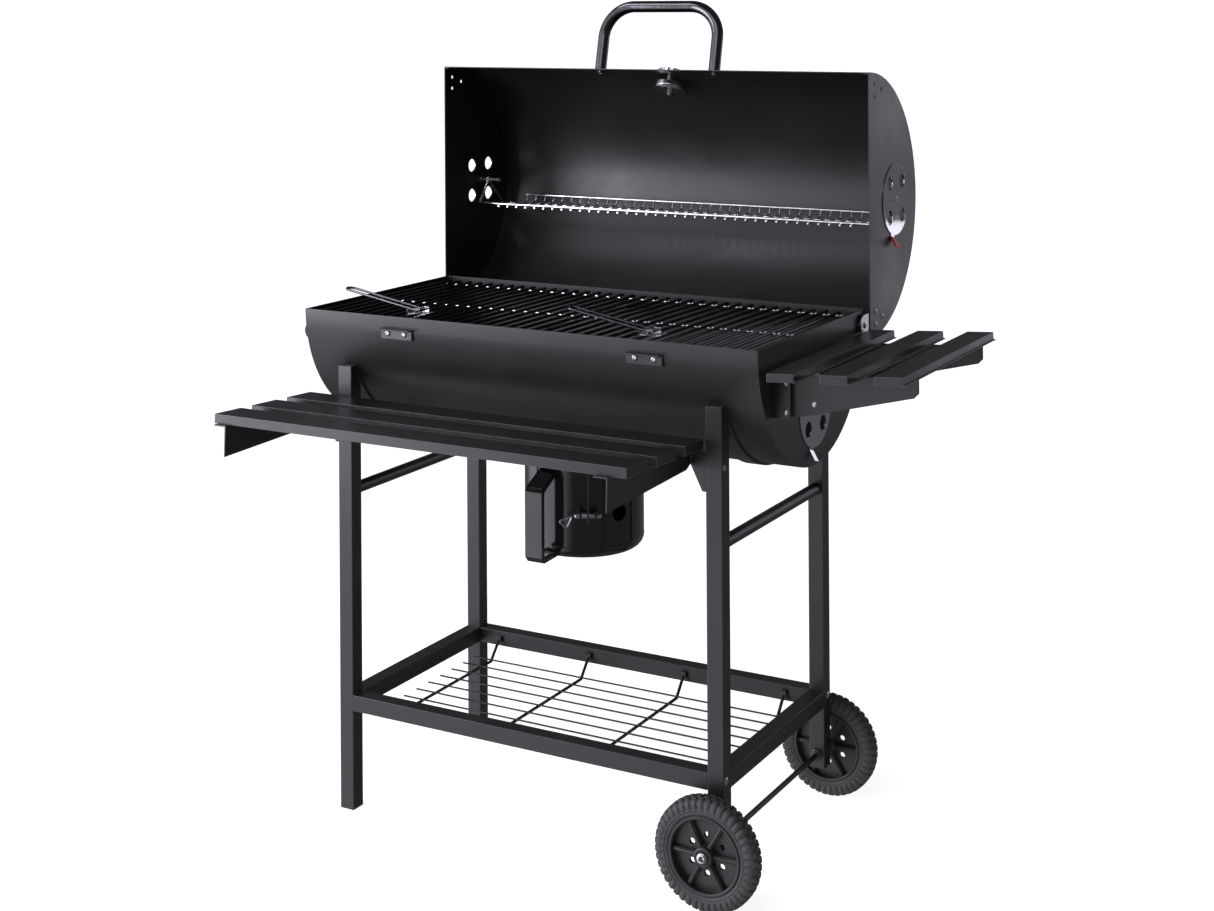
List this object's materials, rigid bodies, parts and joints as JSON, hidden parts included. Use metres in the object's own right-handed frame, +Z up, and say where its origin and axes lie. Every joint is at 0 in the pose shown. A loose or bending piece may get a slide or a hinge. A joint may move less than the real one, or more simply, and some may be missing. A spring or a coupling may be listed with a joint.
{
  "type": "barrel charcoal grill",
  "caption": "Barrel charcoal grill on a wheeled cart: hinged half-round lid, grates, warming rack, ash can, front and side shelves.",
  "frame": {"origin": "middle of the footprint's box, on the floor", "axes": "+X along the barrel towards the wheels and the side shelf, +Y towards the back, where the lid's hinge is, +Z up"},
  "size_m": [1.0764, 0.8602, 1.2816],
  "materials": {
    "barrel_black": "satin powder coat",
    "frame_black": "satin powder coat",
    "slat_black": "fine matt powder coat",
    "grip_black": "soft matt",
    "handle_black_chrome": "glossy dark",
    "vent_chrome": "bright",
    "wire_chrome": "bright",
    "zinc": "zinc plated",
    "grate_enamel": "gloss enamel",
    "shelf_wire_black": "satin",
    "can_enamel": "gloss enamel",
    "plastic_black": "moulded",
    "tyre_rubber": "matt",
    "dial_white": "satin",
    "signal_red": "gloss",
    "clear_glass": "clear"
  },
  "bodies": {
    "cart": {"bowl_shell": "barrel_black", "bowl_end_left": "barrel_black", "bowl_end_right": "barrel_black", "leg_front_left": "frame_black", "leg_front_right": "frame_black", "leg_rear_left": "frame_black", "leg_rear_right": "frame_black", "leg_caps": "plastic_black", "lower_rails": "frame_black", "lower_side_rails": "frame_black", "upper_side_rails": "frame_black", "front_slat_inner": "slat_black", "front_slat_middle": "slat_black", "front_slat_outer": "slat_black", "front_shelf_brackets": "frame_black", "side_slat_inner": "slat_black", "side_slat_middle": "slat_black", "side_slat_outer": "slat_black", "side_shelf_brackets": "frame_black", "ash_collar": "barrel_black", "bowl_fasteners": "zinc", "lid_stops": "frame_black", "hinge_pins": "zinc", "grate_supports": "frame_black", "carry_handle": "grip_black", "cradle_straps": "frame_black", "bottom_shelf": "shelf_wire_black", "frame_fasteners": "zinc", "axle": "frame_black"},
    "lid": {"lid_shell": "barrel_black", "lid_end_left": "barrel_black", "lid_end_right": "barrel_black", "lid_handle": "handle_black_chrome", "lid_fasteners": "zinc", "hinge_plates": "zinc", "thermometer_case": "vent_chrome", "thermometer_dial": "dial_white", "thermometer_needle": "signal_red", "thermometer_lens": "clear_glass", "thermometer_probe": "zinc", "warming_rack_pins": "zinc"},
    "lid_vent_left": {"lid_vent_left": "vent_chrome"},
    "lid_vent_right": {"lid_vent_right": "vent_chrome"},
    "bowl_vent_left": {"bowl_vent_left": "vent_chrome"},
    "bowl_vent_right": {"bowl_vent_right": "vent_chrome"},
    "warming_rack": {"warming_rack": "wire_chrome"},
    "cooking_grate_left": {"cooking_grate_left": "grate_enamel", "grate_clip_left": "wire_chrome"},
    "cooking_grate_right": {"cooking_grate_right": "grate_enamel", "grate_clip_right": "wire_chrome"},
    "grate_handle_left": {"grate_handle_left": "grate_enamel"},
    "grate_handle_right": {"grate_handle_right": "grate_enamel"},
    "charcoal_grate": {"charcoal_grate": "grate_enamel"},
    "wheel_front": {"wheel_hub_front": "plastic_black", "tyre_front": "tyre_rubber"},
    "wheel_rear": {"wheel_hub_rear": "plastic_black", "tyre_rear": "tyre_rubber"},
    "ash_can": {"ash_can": "can_enamel", "ash_can_handle": "can_enamel"},
    "ash_can_pin": {"ash_can_pin": "wire_chrome"}
  },
  "joints": [
    {"name": "lid_hinge", "type": "hinge", "parent": "cart", "child": "lid", "pos_m": [-0.07618, 0.19711, 0.768], "axis": [1, 0, 0], "range_deg": [0, 92.3]},
    {"name": "warming_rack_swing", "type": "hinge", "parent": "lid", "child": "warming_rack", "pos_m": [-0.07618, 0.33311, 0.954], "axis": [1, 0, 0], "range_deg": [-92.3, 0]},
    {"name": "lid_vent_left_turn", "type": "hinge", "parent": "lid", "child": "lid_vent_left", "pos_m": [-0.48218, 0.33311, 0.954], "axis": [1, 0, 0], "range_deg": [-45, 45]},
    {"name": "lid_vent_right_turn", "type": "hinge", "parent": "lid", "child": "lid_vent_right", "pos_m": [0.32982, 0.33311, 0.954], "axis": [1, 0, 0], "range_deg": [-45, 45]},
    {"name": "bowl_vent_left_turn", "type": "hinge", "parent": "cart", "child": "bowl_vent_left", "pos_m": [-0.47418, 0.01111, 0.673], "axis": [1, 0, 0], "range_deg": [-45, 45]},
    {"name": "bowl_vent_right_turn", "type": "hinge", "parent": "cart", "child": "bowl_vent_right", "pos_m": [0.32182, 0.01111, 0.673], "axis": [1, 0, 0], "range_deg": [-45, 45]},
    {"name": "cooking_grate_left_lift", "type": "slide", "parent": "cart", "child": "cooking_grate_left", "axis": [0, 0, 1], "range_m": [0, 0.02]},
    {"name": "cooking_grate_right_lift", "type": "slide", "parent": "cart", "child": "cooking_grate_right", "axis": [0, 0, 1], "range_m": [0, 0.02]},
    {"name": "grate_handle_left_swing", "type": "hinge", "parent": "cooking_grate_left", "child": "grate_handle_left", "pos_m": [-0.29418, -0.12589, 0.792], "axis": [0, 1, 0], "range_deg": [0, 38]},
    {"name": "grate_handle_right_swing", "type": "hinge", "parent": "cooking_grate_right", "child": "grate_handle_right", "pos_m": [0.12282, -0.12589, 0.792], "axis": [0, 1, 0], "range_deg": [0, 38]},
    {"name": "charcoal_grate_lift", "type": "slide", "parent": "cart", "child": "charcoal_grate", "axis": [0, 0, 1], "range_m": [0, 0.06]},
    {"name": "wheel_front_spin", "type": "hinge", "parent": "cart", "child": "wheel_front", "pos_m": [0.24932, -0.21089, 0.081], "axis": [0, 1, 0], "continuous": true},
    {"name": "wheel_rear_spin", "type": "hinge", "parent": "cart", "child": "wheel_rear", "pos_m": [0.24932, 0.23311, 0.081], "axis": [0, 1, 0], "continuous": true},
    {"name": "ash_can_pull", "type": "slide", "parent": "cart", "child": "ash_can", "axis": [0, 0, -1], "range_m": [0, 0.1]},
    {"name": "ash_can_pin_pull", "type": "slide", "parent": "ash_can", "child": "ash_can_pin", "axis": [-0.8406, -0.5417, 0], "range_m": [0, 0.03]}
  ],
  "couplings": [
    {"joint": "warming_rack_swing", "follows": "lid_hinge", "ratio": -1}
  ]
}
